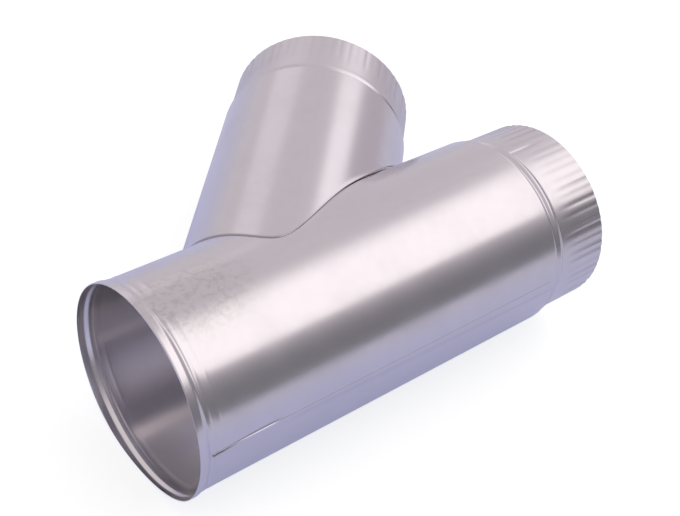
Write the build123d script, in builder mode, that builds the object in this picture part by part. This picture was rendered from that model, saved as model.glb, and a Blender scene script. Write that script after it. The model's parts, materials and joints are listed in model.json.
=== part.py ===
"""A lateral wye for 6 inch round duct, in galvanised sheet.

A straight barrel carries a branch of the same bore, which leans 45 degrees towards the barrel's
crimped end. Each of the two is one rolled sheet: the barrel with a belled socket at one end, a
longitudinal lap seam, a saddle hole with an upturned collar, and a beaded and crimped spigot at
the other end; the branch with a saddle-cut foot that laps over the collar, its own seam, and the
same beaded and crimped spigot.

Frame: the origin is the centre of the socket's mouth, +X runs along the barrel towards its
crimped end, the branch leaves towards +Y, and +Z is up as the fitting lies. Millimetres, degrees.
"""

from build123d import *
import math
import os

# Sheet and nominal size
sheet = 0.55  # galvanised sheet, 26 gauge
body_radius = 76.75  # outside of the plain round wall

# Barrel
barrel_length = 379.0  # socket mouth to the crimped end
barrel_shoulder = 323.5  # socket mouth to the shoulder of the spigot
rim_proud = 1.45  # how far the socket's rolled rim stands out of the wall
rim_width = 5.6
rim_neck = 1.7  # run of the slope that drops from the rim to the wall
rim_ridge_gap = 2.4  # from the foot of that slope to the middle of the stop ridge
stop_ridge = 0.45  # height of the stop ridge behind the rim
gauge_ridge = 0.3  # height of the fainter ridge behind that
ridge_half = 1.4  # half the width of each ridge
ridge_land = 5.2  # plain wall between the two ridges

# Spigots, alike on barrel and branch but for how far they are drawn in
barrel_spigot_drop = 2.9  # wall to the round wall behind the crimps
branch_spigot_drop = 1.6  # the same on the branch, which is drawn in less
groove_run = 3.3  # shoulder to the bottom of the first groove
bead_run = 3.5  # first groove to the crest of the bead
bead_height = 1.3  # crest of the bead over the first groove
tail_run = 3.6  # crest of the bead to the round wall behind the crimps
first_groove_drop = 2.9
collar_run = 1.8  # that round wall, up to the first crimp
crimp_count = 62
crimp_depth = 1.2  # depth of each V at the open end
crimp_width = 3.9  # its width there; depth and width both run out towards the bead
crimp_lead = 1.0  # flat wall between the round wall and the first of the V
crimp_tuck = 0.2  # the many-sided crimped wall steps in this far from the round wall

# Branch
branch_angle = 45.0
branch_offset = 110.7  # socket mouth to the crossing of the axes
branch_length = 269.9  # crossing of the axes to the branch's crimped end
branch_shoulder = 221.6  # crossing of the axes to the shoulder of its spigot

# Saddle joint
foot_lift = 1.2  # the branch's foot stands this far off the barrel
collar_height = 7.0  # how far the barrel's upturned collar reaches into the branch
collar_clearance = 0.2  # between that collar and the inside of the branch

# Lap seams
seam_width = 6.5
seam_taper = 3.0  # the part of that width over which the outer lap runs out
seam_sink = 0.2  # how deep the lap is rooted in the wall
barrel_seam_angle = 169.5  # where the barrel's lap starts, from +Y over the top
branch_seam_angle = 212.0  # the same on the branch, from its heel side over the top
seam_margin = 3.0  # plain wall left between a seam and the swaged ends

bore_radius = body_radius - sheet
barrel_crest_radius = body_radius - barrel_spigot_drop
branch_crest_radius = body_radius - branch_spigot_drop
lean = math.radians(branch_angle)
crossing = Vector(branch_offset, 0, 0)
branch_direction = Vector(math.cos(lean), math.sin(lean), 0)
branch_side = Vector(math.sin(lean), -math.cos(lean), 0)

barrel_outline_plane = Plane.XZ
barrel_section_plane = Plane.YZ
branch_outline_plane = Plane(origin=crossing, x_dir=branch_direction, z_dir=branch_side)
branch_section_plane = Plane(origin=crossing, x_dir=-branch_side, z_dir=branch_direction)
branch_axis = Axis(crossing, branch_direction)


def socket_outline():
    """Outside of the socket from its mouth: rolled rim, neck and two ridges, as (x, radius)."""
    neck = rim_width + rim_neck
    stop = neck + rim_ridge_gap
    gauge = stop + ridge_land + 2 * ridge_half
    return [
        (0, body_radius + rim_proud),
        (rim_width, body_radius + rim_proud),
        (neck, body_radius),
        (stop - ridge_half, body_radius),
        (stop, body_radius + stop_ridge),
        (stop + ridge_half, body_radius),
        (gauge - ridge_half, body_radius),
        (gauge, body_radius + gauge_ridge),
        (gauge + ridge_half, body_radius),
    ]


def spigot_outline(shoulder, crest_radius):
    """Outside of a spigot from its shoulder to the first crimp: groove, bead, run to the crimps."""
    groove = shoulder + groove_run
    bead = groove + bead_run
    tail = bead + tail_run
    groove_radius = body_radius - first_groove_drop
    return [
        (shoulder, body_radius),
        (groove, groove_radius),
        (bead, groove_radius + bead_height),
        (tail, crest_radius),
        (tail + collar_run, crest_radius),
    ]


def crimp_start(shoulder):
    """Where the round wall ends and the crimps begin."""
    return shoulder + groove_run + bead_run + tail_run + collar_run


def crimped_bar(wall_radius, start, end):
    """A bar with one flat side for each crimp, and in each side a V that deepens to the open end."""
    land_radius = wall_radius * math.cos(math.pi / crimp_count)
    run = end - start - crimp_lead
    with BuildPart() as groove:
        with BuildSketch(Plane.XY.offset(end)):
            with BuildLine():
                Polyline(
                    (land_radius - crimp_depth, 0),
                    (land_radius + crimp_depth, crimp_width),
                    (land_radius + crimp_depth, -crimp_width),
                    close=True,
                )
            make_face()
        extrude(amount=math.hypot(run, crimp_depth), dir=(crimp_depth, 0, -run), both=True)
    with BuildPart() as bar:
        with BuildSketch(Plane.XY.offset(start)):
            RegularPolygon(wall_radius, crimp_count, rotation=180 / crimp_count)
        extrude(amount=end - start)
        with PolarLocations(0, crimp_count):
            add(groove.part, mode=Mode.SUBTRACT)
    return bar.part


def crimped_collar(section_plane, crest_radius, start, end):
    """The crimped wall of a spigot, from the last of the round wall to the open end."""
    wall_radius = crest_radius - crimp_tuck
    with BuildPart() as collar:
        add(crimped_bar(wall_radius, start, end))
        add(crimped_bar(wall_radius - sheet, start, end), mode=Mode.SUBTRACT)
    return section_plane.from_local_coords(collar.part)


def lap_seam(section_plane, start, end, angle):
    """The outer lap of a rolled sheet: one sheet proud at its edge, run out into the wall."""
    root = body_radius - seam_sink
    crest = body_radius + sheet
    turn = math.degrees(1 / body_radius)
    flat_end = angle + (seam_width - seam_taper) * turn
    lap_end = angle + seam_width * turn

    def at(radius, degrees):
        return (radius * math.cos(math.radians(degrees)), radius * math.sin(math.radians(degrees)))

    with BuildPart() as lap:
        with BuildSketch(section_plane.offset(start)):
            with BuildLine():
                Line(at(root, angle), at(crest, angle))
                ThreePointArc(at(crest, angle), at(crest, (angle + flat_end) / 2), at(crest, flat_end))
                Line(at(crest, flat_end), at(root, lap_end))
                ThreePointArc(at(root, lap_end), at(root, (angle + lap_end) / 2), at(root, angle))
            make_face()
        extrude(amount=end - start)
    return lap.part


# Barrel: turned wall, lap seam, crimps, then the saddle hole with its upturned collar
barrel_outline = [*socket_outline(), *spigot_outline(barrel_shoulder, barrel_crest_radius)]
barrel_crimps = crimped_collar(
    barrel_section_plane,
    barrel_crest_radius,
    crimp_start(barrel_shoulder),
    barrel_length,
)
barrel_seam = lap_seam(
    barrel_section_plane,
    socket_outline()[-1][0] + seam_margin,
    barrel_shoulder - seam_margin,
    barrel_seam_angle,
)
collar_outer_radius = bore_radius - collar_clearance
collar_inner_radius = collar_outer_radius - sheet
collar_reach = 2 * (body_radius + collar_height) / math.sin(lean)

with BuildPart() as upturn:
    with BuildSketch(branch_section_plane):
        Circle(collar_outer_radius)
    extrude(amount=collar_reach)
    with BuildSketch(barrel_section_plane):
        Circle(body_radius + collar_height)
    extrude(amount=barrel_length, mode=Mode.INTERSECT)

with BuildPart() as barrel:
    with BuildSketch(barrel_outline_plane):
        with BuildLine():
            wall = Polyline(*barrel_outline)
            offset(wall, amount=sheet, side=Side.RIGHT, kind=Kind.INTERSECTION)
        make_face()
    revolve(axis=Axis.X)
    add(barrel_seam)
    add(upturn.part)
    with BuildSketch(barrel_section_plane):
        Circle(bore_radius)
    extrude(amount=barrel_shoulder - seam_margin, mode=Mode.SUBTRACT)
    with BuildSketch(branch_section_plane):
        Circle(collar_inner_radius)
    extrude(amount=collar_reach, mode=Mode.SUBTRACT)
    add(barrel_crimps)
barrel.part.label = "barrel"

# Branch: turned wall, foot cut to the barrel, seam and crimps
branch_outline = [(0, body_radius), *spigot_outline(branch_shoulder, branch_crest_radius)]
branch_crimps = crimped_collar(
    branch_section_plane,
    branch_crest_radius,
    crimp_start(branch_shoulder),
    branch_length,
)
branch_seam = lap_seam(
    branch_section_plane,
    0,
    branch_shoulder - seam_margin,
    branch_seam_angle,
)

with BuildPart() as branch:
    with BuildSketch(branch_outline_plane):
        with BuildLine():
            branch_wall = Polyline(*branch_outline)
            offset(branch_wall, amount=sheet, side=Side.RIGHT, kind=Kind.INTERSECTION)
        make_face()
    revolve(axis=branch_axis)
    add(branch_seam)
    with BuildSketch(barrel_section_plane):
        Circle(body_radius + foot_lift)
    extrude(amount=barrel_length, mode=Mode.SUBTRACT)
    add(branch_crimps)
branch.part.label = "branch"

os.makedirs("parts", exist_ok=True)
export_step(barrel.part, "parts/barrel.step")
export_step(branch.part, "parts/branch.step")
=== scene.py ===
"""A lateral wye for 6 inch round duct, dressed as bright galvanised sheet on a pale floor.

The barrel and the branch are each one rolled sheet, worked out as a grid of points: one way runs
along the sheet from end to end, the other runs round it. Both replace their plain solids.
Metres throughout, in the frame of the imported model: the origin is the centre of the socket's
mouth, +X runs along the barrel, the branch leaves towards +Y, and +Z is up.
"""

import bpy
import json
import numpy as np
from mathutils import Matrix, Vector


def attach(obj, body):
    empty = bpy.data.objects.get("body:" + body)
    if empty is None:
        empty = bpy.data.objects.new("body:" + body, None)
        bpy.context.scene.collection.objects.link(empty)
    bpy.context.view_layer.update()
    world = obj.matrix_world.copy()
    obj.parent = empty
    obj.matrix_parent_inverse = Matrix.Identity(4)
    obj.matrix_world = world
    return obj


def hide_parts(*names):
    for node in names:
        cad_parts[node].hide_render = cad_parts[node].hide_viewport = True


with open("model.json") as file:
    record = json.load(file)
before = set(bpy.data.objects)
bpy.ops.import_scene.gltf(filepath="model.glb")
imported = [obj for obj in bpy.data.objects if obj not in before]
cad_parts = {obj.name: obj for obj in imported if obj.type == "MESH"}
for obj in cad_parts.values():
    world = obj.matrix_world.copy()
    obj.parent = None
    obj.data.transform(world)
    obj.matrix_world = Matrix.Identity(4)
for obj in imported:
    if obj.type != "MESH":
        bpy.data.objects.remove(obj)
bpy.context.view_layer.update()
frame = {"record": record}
mounts = {mount["name"]: mount for mount in frame["record"]["mounts"]}

# Sheet and round wall
SHEET = 0.00055
BORE = mounts["socket_bore"]["dims"]["r_mm"] / 1000
BODY = BORE + SHEET

# Socket: the rim's height and width and the end of its neck, then two swaged rings, each given as
# its place, height and half width
RIM_PROUD = 0.00145
RIM_WIDTH = 0.0055
NECK = 0.0084
STOP_RIDGE = (0.0106, 0.00034, 0.0023)
GAUGE_RIDGE = (0.0177, 0.00016, 0.0022)
# The socket's edge is out of square: depth, middle and half spread in degrees, where it dies out
EDGE_CUT, EDGE_CUT_MIDDLE, EDGE_CUT_SPREAD, EDGE_CUT_END = 0.0027, -112, 64, 0.0078

# Spigots: where the two sheets end and their shoulders start, where the branch's axis crosses the
# barrel's, then what both spigots share
BARREL_END = mounts["run_spigot"]["pos_m"][0]
BARREL_SHOULDER = 0.3235
CROSSING = 0.1107
BRANCH_MOUTH = mounts["branch_spigot"]["pos_m"]
BRANCH_END = float(np.hypot(BRANCH_MOUTH[0] - CROSSING, BRANCH_MOUTH[1]))
BRANCH_SHOULDER = 0.2216
GROOVE_RUN = 0.0033
BEAD_RUN = 0.0035
TAIL_RUN = 0.0036
BEFORE_CRIMPS = GROOVE_RUN + BEAD_RUN + TAIL_RUN
GROOVE_DROP = 0.0029
BEAD_DROP = 0.0016
BARREL_CREST_DROP = 0.0031
BRANCH_CREST_DROP = 0.0018
# Crimps: depth, share spared near the top, spread of that in degrees, seed of their unevenness
CRIMPS = 62
BARREL_CRIMPS = (0.00060, 0.70, 25, 11)
BRANCH_CRIMPS = (0.00065, 0.60, 60, 23)
# The one long crease of the run spigot
CREASE = np.radians(84.5)
CREASE_DEPTH = 0.00065
CREASE_HALF = 0.0025

# Saddle joint: the foot's gap, the drawn-up wall with where it stands up most, in degrees from the
# heel, and the upturned lip of the hole
FOOT_GAP = 0.0006
COLLAR_RISE = 0.0007
COLLAR_STAND = 0.0026
STAND_MIDDLE, STAND_SPREAD = 115, 14
COLLAR_REACH = 0.0090
UPTURN = 0.0068
UPTURN_RADIUS = BORE - 0.0002
# Even rows closer than this angle to a row at a seam or a corner are left out
ROW_GAP = 0.0012

# Lap seams, as angles round each sheet
BARREL_SEAM = np.radians(169.5)
BRANCH_SEAM = np.radians(212.0)
SEAM_WIDTH = 0.0065
SEAM_FADE = 0.0040

# Marks. The open part of the seam ends at this x. Painted highlights inside, laid in as pale non-metal
# streaks, are given as degrees, width and amount. The rubbed patch is given as degrees and x, each
# with its half size.
SEAM_OPEN_END = 0.058
INSIDE_HIGHLIGHT_STREAKS = ((-19.0, 0.0050, 0.45), (-76.3, 0.0058, 1.0))
# Painted highlight on the inside's floor: its middle in degrees and its amount
INSIDE_HIGHLIGHT_FLOOR = -105.0
INSIDE_HIGHLIGHT_FLOOR_AMOUNT = 0.32
RUBBED_ANGLE, RUBBED_HALF_ANGLE = 92, 26
RUBBED_X, RUBBED_HALF_X = 0.038, 0.052
# Painted shade: how dark the run spigot's crimp valleys are painted
BARREL_VALLEY_SHADE = 0.42
# Painted shade: how dark the branch's crimp valleys and the foot's edge are painted
BRANCH_VALLEY_SHADE = 0.22
FOOT_EDGE_SHADE = 0.50

# Zinc
BRIGHT_ZINC = (0.64, 0.63, 0.69, 1)
DULL_ZINC = (0.58, 0.57, 0.62, 1)
# The inside's zinc, painted lighter than the outside's: painted light on the shaded inside of the same
# sheet
LIGHTENED_INSIDE_ZINC = (0.765, 0.755, 0.79, 1)
RUBBED_ZINC = (0.42, 0.43, 0.42)
# Painted shade: the dark marks lay this colour into the seam's open gap, the crimps' valleys and the
# foot's edge
PAINTED_SHADE = (0.07, 0.055, 0.06)
# Painted highlight: the pale colour of the inside's streaks, laid in as non-metal
PAINTED_HIGHLIGHT_ZINC = (0.98, 0.92, 0.94)

# Light
FLOOR_PAPER = (0.58, 0.59, 0.68)
# Glow that glossy rays see on the floor near the fitting and far off; the dimmer near one is painted
# shade in the metal's reflection
FLOOR_NEAR = (0.14, 0.164, 0.281)
FLOOR_FAR = (0.212, 0.206, 0.212)
FLOOR_SEEN = (0.46, 0.50, 0.50)
FLOOR_LIFT = 0.72
WALLS = (0.78, 0.71, 0.71)
FAR_END = (0.624, 0.554, 0.585)
BACK_REFLECTOR = (0.975, 0.881, 0.874)
RIGHT_REFLECTOR = (1.26, 1.16, 1.14)
OVERHEAD = (1.59, 1.47, 1.39)
# Reflectors: directions of the middle and of the first side, half sizes and softness of the edge
BACK_PANEL = ((0.222, 0.892, 0.394), (0.452, -0.452, 0.770), 0.175, 0.20, 0.035)
RIGHT_PANEL = ((0.799, 0.315, 0.513), (0.592, -0.592, -0.544), 0.15, 0.30, 0.06)
# How the softbox's upper and lower sides slant across the ceiling
SOFTBOX_SLANTS = (0.41, 0.17)
# The dim side from level upwards: each height, as a sine, with its colour
DIM_SIDE_STOPS = [
    (0.0, (0.312, 0.296, 0.328)),
    (0.10, (0.257, 0.242, 0.25)),
    (0.30, (0.257, 0.242, 0.25)),
    (0.45, (0.296, 0.281, 0.289)),
    (0.56, (0.39, 0.359, 0.367)),
    (0.70, (0.585, 0.53, 0.53)),
]

# Camera: azimuth, elevation and roll; the point it looks at and its distance, in barrel radii
CAMERA_TURN = np.radians((46.5, 43.2, 12.21))
CAMERA_AIM = BODY * np.array([2.6161, 0.4534, 0.0])
CAMERA_DISTANCE = BODY * 11.7473
CAMERA_LENS = 62.45

AXIS = np.array([np.sqrt(0.5), np.sqrt(0.5), 0.0])
HEEL = np.array([-np.sqrt(0.5), np.sqrt(0.5), 0.0])
UP = np.array([0.0, 0.0, 1.0])
BRANCH_ROOT = np.array([CROSSING, 0.0, 0.0])


def smooth(t):
    """The smooth step 3t^2 - 2t^3, held at 0 and 1 outside the unit run."""
    t = np.clip(t, 0, 1)
    return t * t * (3 - 2 * t)


def ridge(x, centre, height, half):
    """A low swaged ring: a squared cosine bump of that height and half width."""
    t = np.clip(np.abs(x - centre) / half, 0, 1)
    return height * np.cos(t * np.pi / 2) ** 2


def turned(angle, middle):
    """The angle measured from middle, in radians, at most half a turn back or on."""
    return (angle - middle + np.pi) % (2 * np.pi) - np.pi


def socket_swell(x):
    """How far the socket stands out of the plain wall: rolled rim, neck slope and two ridges."""
    rim = RIM_PROUD * (1 - smooth((x - RIM_WIDTH + 0.0008) / (NECK - RIM_WIDTH + 0.0012)))
    rolled = 0.00022 * (1 - smooth(x / 0.0009))
    return rim - rolled + ridge(x, *STOP_RIDGE) + ridge(x, *GAUGE_RIDGE)


def trimmed(x, angle):
    """The socket's edge is cut a little out of square: a squared cosine, centred low on the side away
    from the branch, moves the sheet's first stations back and dies out behind the rim."""
    off = np.degrees(turned(angle, np.radians(EDGE_CUT_MIDDLE)))
    back = EDGE_CUT * np.cos(np.clip(off / EDGE_CUT_SPREAD, -1, 1) * np.pi / 2) ** 2
    return x + back * np.clip(1 - x / EDGE_CUT_END, 0, 1)


def spigot_drop(x, shoulder, crest_drop):
    """How far a spigot lies under the plain wall: smooth steps from shoulder to groove, bead and
    crimps."""
    groove_end = shoulder + GROOVE_RUN
    first = GROOVE_DROP * smooth((x - shoulder + 0.0008) / (GROOVE_RUN + 0.0004))
    bead = (GROOVE_DROP - BEAD_DROP) * smooth((x - groove_end + 0.0002) / (BEAD_RUN - 0.0002))
    tail = (crest_drop - BEAD_DROP) * smooth((x - groove_end - BEAD_RUN) / TAIL_RUN)
    return first - bead + tail


def crimp_drop(x, angle, start, end, deepest, spared, spread, seed):
    """Depth of the crimps: shallow valleys of squared cosine spaced evenly round the spigot, each
    uneven in depth, place and start, that run out to nothing towards the bead. The tool bit least near
    the top: a Gaussian share is spared there."""
    draw = np.random.default_rng(seed)
    bite = 1 - spared * np.exp(-(((np.degrees(angle) % 360 - 95) / spread) ** 2))
    depth = draw.uniform(0.15, 1.0, CRIMPS)
    shift = draw.uniform(-0.10, 0.10, CRIMPS)
    late = draw.uniform(0.0, 0.007, CRIMPS)
    turn = angle / (2 * np.pi) * CRIMPS
    which = np.floor(turn).astype(int) % CRIMPS
    across = np.abs(turn - np.floor(turn) - 0.5 - shift[which])
    valley = np.cos(np.clip(across / 0.38, 0, 1) * np.pi / 2) ** 2
    run = np.clip((x - start - late[which]) / (end - start - late[which]), 0, 1)
    return deepest * bite * depth[which] * valley * smooth(run / 0.35) * (0.55 + 0.45 * run)


def barrel_crimps(x, angle):
    """Depth of the crimps of the run spigot."""
    return crimp_drop(x, angle, BARREL_SHOULDER + BEFORE_CRIMPS, BARREL_END, *BARREL_CRIMPS)


def branch_crimps(along, angle):
    """Depth of the crimps of the branch's spigot."""
    return crimp_drop(along, angle, BRANCH_SHOULDER + BEFORE_CRIMPS, BRANCH_END, *BRANCH_CRIMPS)


def crease_drop(x, angle):
    """One long crease near the top of the run spigot: a squared cosine valley 5 mm wide that starts at
    the end of the bead and is gone 30 mm further on."""
    start = BARREL_SHOULDER + BEFORE_CRIMPS
    across = np.clip(np.abs(angle - CREASE) * BODY / CREASE_HALF, 0, 1)
    run = smooth((x - start + 0.003) / 0.003) * (1 - smooth((x - start - 0.018) / 0.012))
    return CREASE_DEPTH * run * np.cos(across * np.pi / 2) ** 2


def seam_step(angle, seam):
    """The lap of the sheet's outer edge: one sheet proud from the edge on, run out in a few
    millimetres."""
    along = turned(angle, seam) * BODY
    edge = smooth((along + 0.00012) / 0.00024)
    fade = 1 - smooth((along - 0.0015) / SEAM_WIDTH)
    return np.where(along < SEAM_WIDTH + 0.002, edge * fade, 0)


def seam_run(x):
    """1 along the barrel's seam, faded out at the socket's neck and before the spigot's shoulder."""
    return smooth((x - NECK) / 0.002) * (1 - smooth((x - BARREL_SHOULDER + SEAM_FADE) / SEAM_FADE))


def steps(*stops):
    """Stations from stop to stop, each stop given as (place, number of steps to the next)."""
    parts = [np.linspace(a, b, n, endpoint=False) for (a, n), (b, _) in zip(stops, stops[1:])]
    return np.concatenate([*parts, [stops[-1][0]]])


def spigot_stations(first, shoulder, end, counts):
    """Stations of a spigot from the plain wall at first, over shoulder, groove, bead and tail, to its
    end; counts are the numbers of steps from stop to stop."""
    tail = shoulder + BEFORE_CRIMPS
    stops = (first, shoulder - 0.0020, shoulder + GROOVE_RUN, shoulder + GROOVE_RUN + BEAD_RUN)
    stops += (tail + 0.0006, tail + 0.004, end - 0.0004)
    return steps(*zip(stops, counts), (end, 0))


def grid_faces(rows, columns, closed):
    """Quads of a grid whose points are numbered row by row; closed joins the last row to the first."""
    r = np.arange(rows if closed else rows - 1)[:, None]
    c = np.arange(columns - 1)[None, :]
    a = r * columns + c
    b = ((r + 1) % rows) * columns + c
    return np.stack([a, b, b + 1, a + 1], -1).reshape(-1, 4)


def sheet_mesh(mesh, patches):
    """Fills the mesh from grids of points that meet at their edges; points that coincide are merged.
    A patch is (grid, marks, closed, flip, slot): slot 0 is the sheet's bright outside and 1 its
    rougher inside, painted lighter. The marks kept at each point are painted shade, painted highlight,
    worked metal and rubbed patch."""
    points, marked, faces, slots, base = [], [], [], [], 0
    for grid, marks, closed, flip, slot in patches:
        rows, columns = grid.shape[:2]
        quads = grid_faces(rows, columns, closed) + base
        points.append(grid.reshape(-1, 3))
        marked.append(np.zeros((rows * columns, 4)) if marks is None else marks.reshape(-1, 4))
        faces.append(quads[:, ::-1] if flip else quads)
        slots.append(np.full(len(quads), slot))
        base += rows * columns
    points, faces, slots = np.vstack(points), np.vstack(faces), np.concatenate(slots)
    rounded = np.round(points * 1e7).astype(np.int64)
    _, first, place = np.unique(rounded, axis=0, return_index=True, return_inverse=True)
    points, marked, faces = points[first], np.vstack(marked)[first], place.ravel()[faces]
    kept = faces != np.roll(faces, -1, 1)
    whole = kept.sum(1) == 4
    thin = kept.sum(1) == 3
    triangles = faces[thin][kept[thin]].reshape(-1, 3)
    mesh.from_pydata(points.tolist(), [], faces[whole].tolist() + triangles.tolist())
    mesh.polygons.foreach_set("material_index", np.concatenate([slots[whole], slots[thin]]))
    layer = mesh.attributes.new("marks", "FLOAT_COLOR", "POINT")
    layer.data.foreach_set("color", marked.ravel())
    mesh.validate()
    mesh.update()
    mesh.shade_smooth()
    mesh.set_sharp_from_angle(angle=np.radians(38))
    return mesh


def on_barrel(x, angle, radius):
    """Points at radius round the X axis; the angle runs from +Y over the top."""
    x, angle, radius = np.broadcast_arrays(x, angle, radius)
    return np.stack([x, radius * np.cos(angle), radius * np.sin(angle)], -1)


def on_branch(along, angle, radius):
    """Points at radius round the branch's axis; the angle runs from its heel side over the top."""
    along, angle, radius = (part[..., None] for part in np.broadcast_arrays(along, angle, radius))
    return BRANCH_ROOT + along * AXIS + radius * (np.cos(angle) * HEEL + np.sin(angle) * UP)


def barrel_angles():
    """Rows round the barrel: eight to a crimp, with more at the seam's edge and at the saddle's
    corners."""
    even = np.arange(CRIMPS * 8) / (CRIMPS * 8) * 2 * np.pi
    beside = [*np.arange(-0.0034, -0.0003, 0.0005), -0.00012, 0, 0.00012, 0.0006, 0.0011, 0.0016]
    seam = BARREL_SEAM + np.array(beside) / BODY
    closing = np.sin(np.radians([74, 79, 83, 86, 88, 89.2, 90]))
    corner = np.arcsin(np.sin(saddle_corner()) * closing)
    more = np.concatenate([seam, corner, 2 * np.pi - corner])
    gap = np.abs(turned(even[:, None], more)).min(1)
    return np.sort(np.concatenate([even[gap > ROW_GAP], more]))


def stand(branch_angle):
    """How far the sheet springs up beside the bend: a Gaussian round one angle from the heel, each
    way."""
    from_heel = np.degrees(np.arccos(np.clip(np.cos(branch_angle), -1, 1)))
    return COLLAR_STAND * np.exp(-(((from_heel - STAND_MIDDLE) / STAND_SPREAD) ** 2))


def seen_from_branch(x, angle):
    """A point of the barrel's wall in the branch's terms: its distance off the branch's axis, its
    angle round that axis, and how far it is past the barrel's side towards the far half."""
    point = on_barrel(x, angle, BODY) - BRANCH_ROOT
    across = point @ HEEL
    past = (np.abs(turned(angle, 0)) - np.radians(80)) / np.radians(12)
    return np.hypot(across, point[..., 2]), np.arctan2(point[..., 2], across), past


def collar_rise(distance, branch_angle, past):
    """The barrel's wall is drawn up round the saddle hole: the rise falls with the square of the
    distance from the hole's edge and fades out past the saddle's corners."""
    near = np.clip(1 - (distance - UPTURN_RADIUS) / COLLAR_REACH, 0, 1) ** 2
    return (COLLAR_RISE + stand(branch_angle)) * near * (1 - smooth(past))


def saddle_corner():
    """The angle at which the two sides of the saddle hole meet, found by repeating
    sin(angle) = upturn radius / raised wall radius."""
    angle = np.arcsin(UPTURN_RADIUS / BODY)
    for _ in range(30):
        radius = BODY + collar_rise(*seen_from_branch(CROSSING + BODY * np.cos(angle), angle))
        angle = np.arcsin(UPTURN_RADIUS / radius)
    return angle


def plain_saddle_lines(angle, radius, upturn):
    """Where a round upturn meets a round wall of that radius. Past the saddle's corners both lines
    are the one that carries on from the corner."""
    reach = np.clip(upturn**2 - (radius * np.sin(angle)) ** 2, 0, None)
    open_side = np.cos(angle) > 0
    half = np.where(open_side, np.sqrt(2 * reach), 0)
    middle = np.where(open_side, CROSSING + radius * np.cos(angle), CROSSING)
    return middle - half, middle + half


def inner_saddle_lines(angle, wall):
    """The lines of the same hole inside a sheet whose outside is at radius wall: the upturn is smaller
    in the ratio of the inner wall to the outer one."""
    return plain_saddle_lines(angle, wall - SHEET, UPTURN_RADIUS * (1 - SHEET / wall))


def saddle_lines(angle, inside):
    """Where the upturn meets the raised wall: x on the heel side and on the throat side at each angle,
    found by repeating the plain meeting line with the rise that it has there."""
    heel, throat = plain_saddle_lines(angle, BODY, UPTURN_RADIUS)
    for _ in range(12):
        heel_wall = BODY + collar_rise(*seen_from_branch(heel, angle))
        throat_wall = BODY + collar_rise(*seen_from_branch(throat, angle))
        heel = plain_saddle_lines(angle, heel_wall, UPTURN_RADIUS)[0]
        throat = plain_saddle_lines(angle, throat_wall, UPTURN_RADIUS)[1]
    if inside:
        heel = inner_saddle_lines(angle, heel_wall)[0]
        throat = inner_saddle_lines(angle, throat_wall)[1]
    return heel, throat


def barrel_wall(x, angle, inside):
    """Radius of the barrel's sheet, outside or inside: wall, socket, spigot, crimps, crease, the rise
    round the saddle hole, and the seam's lap, pressed flatter beyond its open part."""
    radius = BODY + socket_swell(x) - spigot_drop(x, BARREL_SHOULDER, BARREL_CREST_DROP)
    radius = radius - barrel_crimps(x, angle) - crease_drop(x, angle)
    radius = radius + collar_rise(*seen_from_branch(x, angle))
    if inside:
        return radius - SHEET
    pressed = 0.60 - 0.35 * smooth((x - 0.052) / 0.016)
    return radius + SHEET * seam_run(x) * pressed * seam_step(angle, BARREL_SEAM)


def soft_line(angle, place, width):
    """A line along the barrel: a Gaussian of that width across it."""
    return np.exp(-((turned(angle, place) * BODY / width) ** 2))


def inside_marks(x, angle):
    """Painted highlights inside the barrel, laid in as pale non-metal: soft lines along the sheet and
    a floor with soft sides, both fading out before the mouth."""
    dull_or_painted_highlight = sum(amount * soft_line(angle, np.radians(at), wide) for at, wide, amount in INSIDE_HIGHLIGHT_STREAKS)
    off = np.abs(turned(angle, np.radians(INSIDE_HIGHLIGHT_FLOOR)) * BODY)
    dull_or_painted_highlight = dull_or_painted_highlight + INSIDE_HIGHLIGHT_FLOOR_AMOUNT * (1 - smooth((off - 0.030) / 0.014))
    made = np.zeros(x.shape + (4,))
    made[..., 1] = np.clip(dull_or_painted_highlight, 0, 1) * smooth((x - 0.011) / 0.005)
    return made


def barrel_marks(x, angle, inside):
    """Marks of the barrel's outside. Painted shade, in the dark mark: a soft line in the seam's open
    gap at its edge that wanders a little and ends where the lap closes, a faint one where the lap runs
    out, and the valleys of the crimps.
    Worked metal: the crimped end. Rubbed patch: an oval near the socket, full in its middle."""
    x, angle = np.broadcast_arrays(x, angle)
    if inside:
        return inside_marks(x, angle)
    made = np.zeros(x.shape + (4,))
    # Painted shade: a dark line in the seam's open gap at its edge, and a faint one where the lap runs
    # out
    edge = np.radians(170.1 - 1.6 * smooth((x - 0.012) / 0.035))
    width = 0.0006 + 0.0004 * (1 - smooth((x - 0.012) / 0.020))
    lap_closes = smooth((x - SEAM_OPEN_END) / 0.006)
    open_part = (0.95 - 0.35 * smooth((x - 0.015) / 0.012)) * (1 - lap_closes)
    closed = np.radians(172.4 + 3.2 * (x - 0.07) / 0.21)
    closed_part = 0.10 * smooth((x - SEAM_OPEN_END - 0.002) / 0.02)
    lines = open_part * soft_line(angle, edge, width)
    lines += closed_part * soft_line(angle, closed, 0.0013)
    # Painted shade in the crimps' valleys, the deeper valleys darker
    valleys = BARREL_VALLEY_SHADE * barrel_crimps(x, angle) / BARREL_CRIMPS[0]
    made[..., 0] = lines * seam_run(x) + valleys
    made[..., 2] = 0.12 * smooth((x - BARREL_SHOULDER - GROOVE_RUN) / 0.006)
    across = (np.degrees(angle) - RUBBED_ANGLE) / RUBBED_HALF_ANGLE
    made[..., 3] = smooth(1.75 - np.hypot(across, (x - RUBBED_X) / RUBBED_HALF_X) * 1.6)
    return made


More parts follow.
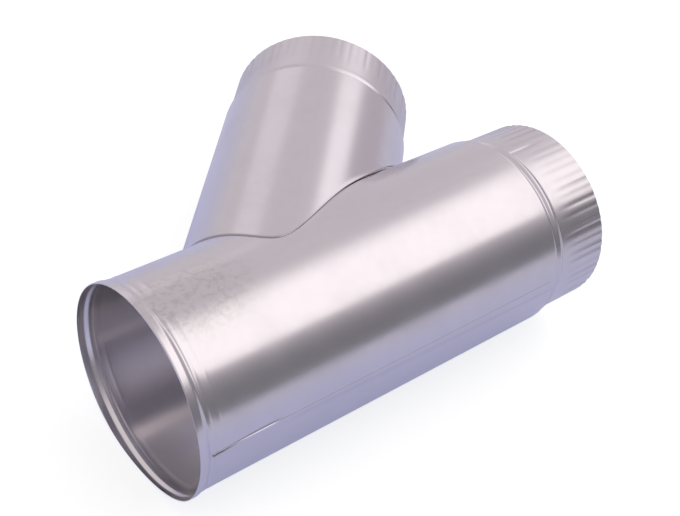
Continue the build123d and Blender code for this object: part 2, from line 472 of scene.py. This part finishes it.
def build_barrel():
    """The barrel: outside and inside grids on each side of the saddle hole, whose stations crowd
    towards the hole, the upturned lip of the hole, and the cut edges of the sheet at both ends."""
    angle = barrel_angles()[:, None]
    rim = ((0, 2), (0.0009, 4), (0.0046, 9))
    rings = ((0.0090, 6), (0.0130, 3), (0.0155, 6), (0.0199, 4), (0.0560, 0))
    socket = steps(*rim, *rings)
    spigot = spigot_stations(0.306, BARREL_SHOULDER, BARREL_END, (2, 7, 6, 6, 3, 6, 1))
    near = [np.linspace(0, 1, 6)[1:-1] * 0.9, 1 - 0.1 * np.linspace(1, 0, 7) ** 1.3]
    near = np.concatenate(near)
    patches = []
    for inside in (False, True):
        heel, throat = saddle_lines(angle, inside)
        from_socket = socket[-1] + (heel - socket[-1]) * near
        to_spigot = throat + (spigot[0] - throat) * (1 - near[::-1])
        ones = np.ones_like(angle)
        heel_part = np.hstack([trimmed(ones * socket, angle), from_socket])
        throat_part = np.hstack([to_spigot, ones * spigot])
        for x in (heel_part, throat_part):
            grid = on_barrel(x, angle, barrel_wall(x, angle, inside))
            marks = barrel_marks(x, angle, inside)
            patches.append((grid, marks, True, not inside, int(inside)))
    outer_a, outer_b, inner_a, inner_b = (patch[0] for patch in patches)
    mouth = np.stack([outer_a[:, 0], inner_a[:, 0]], 1)
    end = np.stack([outer_b[:, -1], inner_b[:, -1]], 1)
    patches += [(mouth, None, True, False, 0), (end, None, True, True, 0)]
    return patches + upturned_lip(outer_a, outer_b, inner_a, inner_b, angle[:, 0])


def upturned_lip(outer_a, outer_b, inner_a, inner_b, angle):
    """The lip of the saddle hole: from each point of the hole's edge it runs along the branch until it
    is one lip's height off the barrel."""
    from_side = turned(angle, 0)
    order = np.argsort(from_side)
    order = order[np.abs(from_side[order]) <= saddle_corner() + 1e-9]
    outer = np.vstack([outer_a[order, -1], outer_b[order[::-1], 0]])
    inner = np.vstack([inner_a[order, -1], inner_b[order[::-1], 0]])
    radial = outer - BRANCH_ROOT
    radial = radial - (radial @ AXIS)[:, None] * AXIS
    radial /= np.linalg.norm(radial, axis=1)[:, None]
    rise = (np.sqrt((BODY + UPTURN) ** 2 - outer[:, 2] ** 2) - outer[:, 1]) / AXIS[1]
    share = np.linspace(0, 1, 5)[None, :, None]
    outside = outer[:, None] + share * rise[:, None, None] * AXIS
    thinner = outside - radial[:, None] * SHEET
    inside = inner[:, None] * (1 - share) + thinner[:, -1][:, None] * share
    inside[:, 1:-1] = thinner[:, 1:-1]
    rim = np.stack([outside[:, -1], inside[:, -1]], 1)
    return [
        (outside, None, True, False, 1),
        (inside, None, True, True, 1),
        (rim, None, True, False, 1),
    ]


def branch_angles():
    """Rows round the branch: ten to a crimp, with more at the seam's edge."""
    even = np.arange(CRIMPS * 10) / (CRIMPS * 10) * 2 * np.pi
    seam = BRANCH_SEAM + np.array([-0.00022, -0.00012, 0, 0.00012, 0.00022]) / BODY
    gap = np.abs(turned(even[:, None], seam)).min(1)
    return np.sort(np.concatenate([even[gap > ROW_GAP], seam]))


def foot_flare(angle):
    """How far the foot's edge is dressed outwards: not at all at the heel and the sides, more at the
    throat."""
    return 0.0010 * smooth((-np.cos(angle) - 0.17) / 0.5)


def foot_edge(angle):
    """Distance along the branch's axis at which the flared foot comes down to the barrel's wall, with
    a thin gap over the drawn-up wall."""
    radius = BODY + foot_flare(angle)
    wall = BODY + FOOT_GAP + COLLAR_RISE + stand(angle)
    across = np.sqrt(wall**2 - (radius * np.sin(angle)) ** 2)
    return across / AXIS[1] - radius * np.cos(angle)


def branch_wall(along, angle, inside):
    """Radius of the branch's sheet, outside or inside: wall, flared foot with a rolled edge, spigot,
    crimps and seam."""
    off = along - foot_edge(angle)
    lifted = foot_flare(angle) * np.clip(1 - off / 0.009, 0, 1) ** 2
    rolled = 0.00025 * np.clip(1 - off / 0.0007, 0, 1) ** 2
    radius = BODY + lifted - rolled - spigot_drop(along, BRANCH_SHOULDER, BRANCH_CREST_DROP)
    radius = radius - branch_crimps(along, angle)
    if inside:
        return radius - SHEET
    run = 1 - smooth((along - BRANCH_SHOULDER + SEAM_FADE) / SEAM_FADE)
    return radius + SHEET * 0.9 * run * seam_step(angle, BRANCH_SEAM)


def branch_marks(along, angle):
    """Marks of the branch's outside. Painted shade, in the dark mark: a Gaussian band at the foot's
    edge and
    the valleys of the crimps. Worked metal: the whole crimped end, whose fine crimps blur what it
    reflects."""
    along, angle = np.broadcast_arrays(along, angle)
    made = np.zeros(along.shape + (4,))
    # Painted shade: a dark band along the foot's edge, where it stands off the barrel, and in the
    # crimps' valleys
    edge = FOOT_EDGE_SHADE * np.exp(-(((along - foot_edge(angle)) / 0.0011) ** 2))
    made[..., 0] = edge + BRANCH_VALLEY_SHADE * branch_crimps(along, angle) / BRANCH_CRIMPS[0]
    made[..., 2] = 0.70 * smooth((along - BRANCH_SHOULDER - GROOVE_RUN) / 0.004)
    return made


def build_branch():
    """The branch: outside and inside grids from the saddle foot to the crimped end, and the cut
    edges."""
    angle = branch_angles()[:, None]
    spigot = spigot_stations(0.2150, BRANCH_SHOULDER, BRANCH_END, (2, 9, 7, 7, 4, 10, 1))
    lip = np.array([0, 0.0003, 0.0007, 0.0014, 0.0024, 0.0036, 0.0050, 0.0068, 0.0090])
    lip = foot_edge(angle) + lip
    lip_end = lip[:, -1:]
    plain = lip_end + (spigot[0] - lip_end) * np.linspace(0, 1, 12)[1:-1]
    along = np.hstack([lip, plain, np.ones_like(angle) * spigot])
    outer = on_branch(along, angle, branch_wall(along, angle, False))
    inner = on_branch(along, angle, branch_wall(along, angle, True))
    foot_rim = np.stack([outer[:, 0], inner[:, 0]], 1)
    end = np.stack([outer[:, -1], inner[:, -1]], 1)
    return [
        (outer, branch_marks(along, angle), True, True, 0),
        (inner, None, True, False, 1),
        (foot_rim, None, True, False, 1),
        (end, None, True, True, 0),
    ]


def node(tree, kind, **values):
    """A node of that kind, with its settings and its sockets' own values."""
    made = tree.nodes.new(kind)
    for name, value in values.items():
        if hasattr(made, name):
            setattr(made, name, value)
        else:
            made.inputs[name.replace("_", " ")].default_value = value
    return made


def arithmetic(tree, operation, *values):
    """The result of a Math node on sockets or plain numbers."""
    made = node(tree, "ShaderNodeMath", operation=operation)
    for socket, value in zip(made.inputs, values):
        if isinstance(value, (int, float)):
            socket.default_value = value
        else:
            tree.links.new(value, socket)
    return made.outputs["Value"]


def soft_edge(tree, value, low, high):
    """0 below low, 1 above high and smooth between; low and high may be in either order."""
    made = node(tree, "ShaderNodeMapRange", interpolation_type="SMOOTHSTEP")
    made.inputs["From Min"].default_value = min(low, high)
    made.inputs["From Max"].default_value = max(low, high)
    made.inputs["To Min"].default_value = 0.0 if low < high else 1.0
    made.inputs["To Max"].default_value = 1.0 if low < high else 0.0
    tree.links.new(value, made.inputs["Value"])
    return made.outputs["Result"]


def blend_colour(tree, share, first, second):
    """Colour first where share is 0 and second where it is 1."""
    made = node(tree, "ShaderNodeMix", data_type="RGBA")
    tree.links.new(share, made.inputs["Factor"])
    for socket, value in ((made.inputs[6], first), (made.inputs[7], second)):
        if isinstance(value, tuple):
            socket.default_value = (*value, 1)
        else:
            tree.links.new(value, socket)
    return made.outputs[2]


def noise(tree, place, **values):
    """The amount of a cloudy noise at that place."""
    made = node(tree, "ShaderNodeTexNoise", **values)
    tree.links.new(place, made.inputs["Vector"])
    return made.outputs["Fac"]


def mapped(tree, place, **values):
    """That place turned or stretched."""
    made = node(tree, "ShaderNodeMapping", **values)
    tree.links.new(place, made.inputs["Vector"])
    return made.outputs["Vector"]


def spangle_group():
    """Rolled and zinc-coated sheet: broad cloudiness and small flecks of the zinc, fine rolling grain
    that follows the sheet, and the unevenness of a wall rolled by hand. Puts out colour, roughness and
    height."""
    group = bpy.data.node_groups.new("zinc_sheet", "ShaderNodeTree")
    face = group.interface
    for name, kind, value in (
        ("Grain Along", "NodeSocketVector", None),
        ("Zinc", "NodeSocketColor", BRIGHT_ZINC),
        ("Dull Zinc", "NodeSocketColor", DULL_ZINC),
        ("Gloss Roughness", "NodeSocketFloat", 0.2),
        ("Cloudiness", "NodeSocketFloat", 0.06),
        ("Grain", "NodeSocketFloat", 0.5),
        ("Worked", "NodeSocketFloat", 0.0),
    ):
        made = face.new_socket(name=name, in_out="INPUT", socket_type=kind)
        if value is not None:
            made.default_value = value
    for name, kind in (("Colour", "Color"), ("Roughness", "Float"), ("Height", "Float")):
        face.new_socket(name=name, in_out="OUTPUT", socket_type=f"NodeSocket{kind}")
    given = node(group, "NodeGroupInput").outputs
    out = node(group, "NodeGroupOutput").inputs
    place = given["Grain Along"]

    cloud = noise(group, place, Scale=26.0, Detail=4.0, Roughness=0.6)
    dull_or_painted_highlight = node(group, "ShaderNodeMapRange", From_Min=0.42, From_Max=0.72)
    group.links.new(cloud, dull_or_painted_highlight.inputs["Value"])
    dull_or_painted_highlight = dull_or_painted_highlight.outputs["Result"]
    flecks = noise(group, place, Scale=150.0, Detail=1.0, Roughness=0.5)
    flecks = arithmetic(group, "MULTIPLY", soft_edge(group, flecks, 0.35, 0.68), 0.30)
    share = arithmetic(group, "ADD", flecks, dull_or_painted_highlight)
    share = arithmetic(group, "MULTIPLY", share, 0.30)
    colour = blend_colour(group, share, given["Zinc"], given["Dull Zinc"])
    group.links.new(colour, out["Colour"])

    cloudy = arithmetic(group, "MULTIPLY", dull_or_painted_highlight, given["Cloudiness"])
    rough = arithmetic(group, "ADD", cloudy, given["Gloss Roughness"])
    rough = arithmetic(group, "MULTIPLY_ADD", given["Worked"], 0.22, rough)
    group.links.new(rough, out["Roughness"])

    along_grain = mapped(group, place, Scale=(6.0, 220.0, 220.0))
    grain = noise(group, along_grain, Scale=5.0, Detail=3.0, Roughness=0.55)
    along_roll = mapped(group, place, Scale=(2.2, 14.0, 14.0))
    waves = noise(group, along_roll, Scale=1.0, Detail=1.0, Roughness=0.4)
    fine = arithmetic(group, "MULTIPLY", grain, given["Grain"])
    height = arithmetic(group, "ADD", fine, arithmetic(group, "MULTIPLY", waves, 14.0))
    group.links.new(height, out["Height"])
    return group


def zinc_material(name, group, turn, **look):
    """Galvanised sheet whose grain runs along local X once Object coordinates are turned by turn. The
    sheet's marks lie over it in this order: rubbed patch, painted shade, painted highlight as pale
    non-metal. Worked metal is rougher."""
    material = bpy.data.materials.new(name)
    material.use_nodes = True
    tree = material.node_tree
    shader = tree.nodes["Principled BSDF"]
    place = node(tree, "ShaderNodeTexCoord").outputs["Object"]
    place = mapped(tree, place, Rotation=(0, 0, turn))
    zinc = node(tree, "ShaderNodeGroup", node_tree=group, **look)
    tree.links.new(place, zinc.inputs["Grain Along"])
    marks = node(tree, "ShaderNodeAttribute", attribute_name="marks")
    amounts = node(tree, "ShaderNodeSeparateColor")
    tree.links.new(marks.outputs["Color"], amounts.inputs["Color"])
    dark, dull_or_painted_highlight, worked = amounts.outputs

    blotch = soft_edge(tree, noise(tree, place, Scale=240.0, Detail=2.0, Roughness=0.6), 0.42, 0.68)
    patchy = arithmetic(tree, "ADD", arithmetic(tree, "MULTIPLY", blotch, 0.36), 0.15)
    rubbed = arithmetic(tree, "MULTIPLY", patchy, marks.outputs["Alpha"])
    colour = blend_colour(tree, rubbed, zinc.outputs["Colour"], RUBBED_ZINC)
    # Painted shade: the first mark darkens the colour at the seam's gap, in the crimps' valleys and at
    # the foot's edge
    colour = blend_colour(tree, dark, colour, PAINTED_SHADE)
    # Painted highlight: the second mark turns the colour pale and the metal into non-metal in the
    # streaks inside the barrel
    colour = blend_colour(tree, dull_or_painted_highlight, colour, PAINTED_HIGHLIGHT_ZINC)
    tree.links.new(colour, shader.inputs["Base Color"])
    tree.links.new(arithmetic(tree, "SUBTRACT", 1.0, dull_or_painted_highlight), shader.inputs["Metallic"])
    tree.links.new(worked, zinc.inputs["Worked"])
    tree.links.new(zinc.outputs["Roughness"], shader.inputs["Roughness"])
    bump = node(tree, "ShaderNodeBump", Strength=1.0, Distance=0.000012)
    tree.links.new(zinc.outputs["Height"], bump.inputs["Height"])
    tree.links.new(bump.outputs["Normal"], shader.inputs["Normal"])
    return material


def add_piece(name, patches, outside, inside, replaced):
    """Puts the sheet in the scene, on the body, in place of its plain solid."""
    mesh = bpy.data.meshes.new(name)
    mesh.materials.append(outside)
    mesh.materials.append(inside)
    piece = bpy.data.objects.new(name, sheet_mesh(mesh, patches))
    bpy.context.scene.collection.objects.link(piece)
    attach(piece, "root")
    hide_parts(replaced)
    return piece


def ramp(tree, value, stops):
    """A colour ramp of value through (position, colour) stops."""
    made = node(tree, "ShaderNodeValToRGB")
    bar = made.color_ramp
    while len(bar.elements) < len(stops):
        bar.elements.new(0.5)
    for element, (position, colour) in zip(bar.elements, stops):
        element.position = position
        element.color = (*colour, 1)
    tree.links.new(value, made.inputs["Fac"])
    return made.outputs["Color"]


def towards(tree, direction, axis):
    """How far a direction goes along an axis: their dot product."""
    made = node(tree, "ShaderNodeVectorMath", operation="DOT_PRODUCT")
    tree.links.new(direction, made.inputs[0])
    made.inputs[1].default_value = tuple(axis)
    return made.outputs["Value"]


def soft_panel(tree, direction, centre, across, half_across, half_along, edge):
    """1 inside a rectangular patch of the room round the direction centre, with soft edges: across is
    the direction of its first side, and the two halves and the edge are sines of angles."""
    centre = np.array(centre) / np.linalg.norm(centre)
    across = np.array(across) - np.dot(across, centre) * centre
    across /= np.linalg.norm(across)
    inside = soft_edge(tree, towards(tree, direction, centre), 0.3, 0.5)
    for axis, half in ((across, half_across), (np.cross(centre, across), half_along)):
        off = arithmetic(tree, "ABSOLUTE", towards(tree, direction, axis))
        inside = arithmetic(tree, "MULTIPLY", inside, soft_edge(tree, off, half + edge, half - edge))
    return inside


def pale_floor_shading(tree, paper):
    """Camera rays see the floor's own shading lifted to white, so a soft shadow is left on it. Glossy
    and transmitted rays see the pale floor with a glow added that is dimmer and bluer near the fitting
    than far off: painted shade in what the metal reflects there."""
    place = node(tree, "ShaderNodeTexCoord").outputs["Object"]
    reach = node(tree, "ShaderNodeVectorMath", operation="LENGTH")
    tree.links.new(place, reach.inputs[0])
    far = soft_edge(tree, reach.outputs["Value"], 0.25, 1.1)
    path = node(tree, "ShaderNodeLightPath").outputs
    bounced = arithmetic(tree, "MAXIMUM", path["Is Glossy Ray"], path["Is Transmission Ray"])
    seen = node(tree, "ShaderNodeBsdfDiffuse", Color=(*FLOOR_SEEN, 1))
    final = paper
    for ray, base, colour, strength in (
        (bounced, paper, blend_colour(tree, far, FLOOR_NEAR, FLOOR_FAR), 1.0),
        (path["Is Camera Ray"], seen, None, FLOOR_LIFT),
    ):
        glow = node(tree, "ShaderNodeEmission", Strength=strength)
        if colour is not None:
            tree.links.new(colour, glow.inputs["Color"])
        lifted = node(tree, "ShaderNodeAddShader")
        tree.links.new(base.outputs[0], lifted.inputs[0])
        tree.links.new(glow.outputs[0], lifted.inputs[1])
        mixed = node(tree, "ShaderNodeMixShader")
        tree.links.new(ray, mixed.inputs[0])
        tree.links.new(final.outputs[0], mixed.inputs[1])
        tree.links.new(lifted.outputs[0], mixed.inputs[2])
        final = mixed
    return final


def build_floor():
    """A wide pale floor under the fitting."""
    size, low = 6.0, -(BODY + RIM_PROUD)
    mesh = bpy.data.meshes.new("floor")
    corners = [(-size, -size, low), (size, -size, low), (size, size, low), (-size, size, low)]
    mesh.from_pydata(corners, [], [(0, 1, 2, 3)])
    floor = bpy.data.objects.new("floor", mesh)
    bpy.context.scene.collection.objects.link(floor)
    material = bpy.data.materials.new("pale_floor")
    material.use_nodes = True
    tree = material.node_tree
    tree.nodes.remove(tree.nodes["Principled BSDF"])
    paper = node(tree, "ShaderNodeBsdfDiffuse", Color=(*FLOOR_PAPER, 1))
    final = pale_floor_shading(tree, paper)
    tree.links.new(final.outputs[0], tree.nodes["Material Output"].inputs["Surface"])
    mesh.materials.append(material)


def build_room():
    """The room's light, by direction: pale cloth walls, a wide softbox overhead, two weak reflectors,
    and a dim side towards -Y that runs the whole length of the room. The camera sees plain white."""
    world = bpy.data.worlds.new("room")
    bpy.context.scene.world = world
    world.use_nodes = True
    tree = world.node_tree
    direction = node(tree, "ShaderNodeTexCoord").outputs["Generated"]
    split = node(tree, "ShaderNodeSeparateXYZ")
    tree.links.new(direction, split.inputs[0])
    x, y, z = split.outputs

    squares = [arithmetic(tree, "MULTIPLY", part, part) for part in (y, z)]
    flat = arithmetic(tree, "SQRT", arithmetic(tree, "ADD", *squares))
    flat = arithmetic(tree, "MAXIMUM", flat, 0.001)
    dim_side = ramp(tree, arithmetic(tree, "DIVIDE", z, flat), DIM_SIDE_STOPS)
    facing_it = soft_edge(tree, arithmetic(tree, "DIVIDE", y, flat), -0.50, -0.74)
    far_end = soft_edge(tree, x, 0.82, 0.95)
    walls = blend_colour(tree, far_end, WALLS, FAR_END)
    walls = blend_colour(tree, facing_it, walls, dim_side)
    for panel, colour in ((BACK_PANEL, BACK_REFLECTOR), (RIGHT_PANEL, RIGHT_REFLECTOR)):
        walls = blend_colour(tree, soft_panel(tree, direction, *panel), walls, colour)

    high = arithmetic(tree, "MAXIMUM", z, 0.001)
    ceiling_x = arithmetic(tree, "DIVIDE", x, high)
    ceiling_y = arithmetic(tree, "DIVIDE", y, high)
    upper, lower = (
        arithmetic(tree, "SUBTRACT", ceiling_y, arithmetic(tree, "MULTIPLY", ceiling_x, slant))
        for slant in SOFTBOX_SLANTS
    )
    box = soft_edge(tree, upper, 0.20, -0.28)
    for place, low, high in (
        (lower, -1.17, -1.04),
        (ceiling_x, 0.05, 0.25),
        (ceiling_x, 1.5, 1.2),
        (z, 0.0, 0.1),
    ):
        box = arithmetic(tree, "MULTIPLY", box, soft_edge(tree, place, low, high))
    lit = blend_colour(tree, box, walls, OVERHEAD)

    path = node(tree, "ShaderNodeLightPath")
    seen = blend_colour(tree, path.outputs["Is Camera Ray"], lit, (1.0, 1.0, 1.0))
    back_light = tree.nodes["Background"]
    tree.links.new(seen, back_light.inputs["Color"])
    back_light.inputs["Strength"].default_value = 1.0


def build_camera():
    """The camera, set by its place, its line of sight and its roll."""
    azimuth, elevation, roll = CAMERA_TURN
    ahead = np.array([np.sin(azimuth), np.cos(azimuth), 0.0])
    sight = ahead * np.cos(elevation) - UP * np.sin(elevation)
    level = np.array([np.cos(azimuth), -np.sin(azimuth), 0.0])
    upright = np.cross(level, sight)
    right = np.cos(roll) * level + np.sin(roll) * upright
    up = -np.sin(roll) * level + np.cos(roll) * upright
    camera = bpy.data.cameras.new("camera")
    camera.sensor_width = 36.0
    camera.lens = CAMERA_LENS
    made = bpy.data.objects.new("camera", camera)
    bpy.context.scene.collection.objects.link(made)
    turn = Matrix([(right[i], up[i], -sight[i]) for i in range(3)])
    place = CAMERA_AIM - CAMERA_DISTANCE * sight
    made.matrix_world = Matrix.Translation(Vector(place)) @ turn.to_4x4()
    bpy.context.scene.camera = made


zinc = spangle_group()
# The inside is the same zinc, rougher and painted lighter, which stands in for light on the shaded
# inside
inside_look = {
    "Zinc": LIGHTENED_INSIDE_ZINC,
    "Dull_Zinc": LIGHTENED_INSIDE_ZINC,
    "Gloss_Roughness": 0.28,
    "Cloudiness": 0.0,
}
for piece_name, patches, turn in (
    ("barrel", build_barrel(), 0.0),
    ("branch", build_branch(), -np.pi / 4),
):
    outside = zinc_material(f"galvanised_{piece_name}", zinc, turn)
    inside = zinc_material(f"lightened_inside_{piece_name}", zinc, turn, **inside_look)
    add_piece(f"{piece_name}_sheet", patches, outside, inside, piece_name)

build_floor()
build_room()
build_camera()
bpy.context.scene.view_settings.view_transform = "Standard"
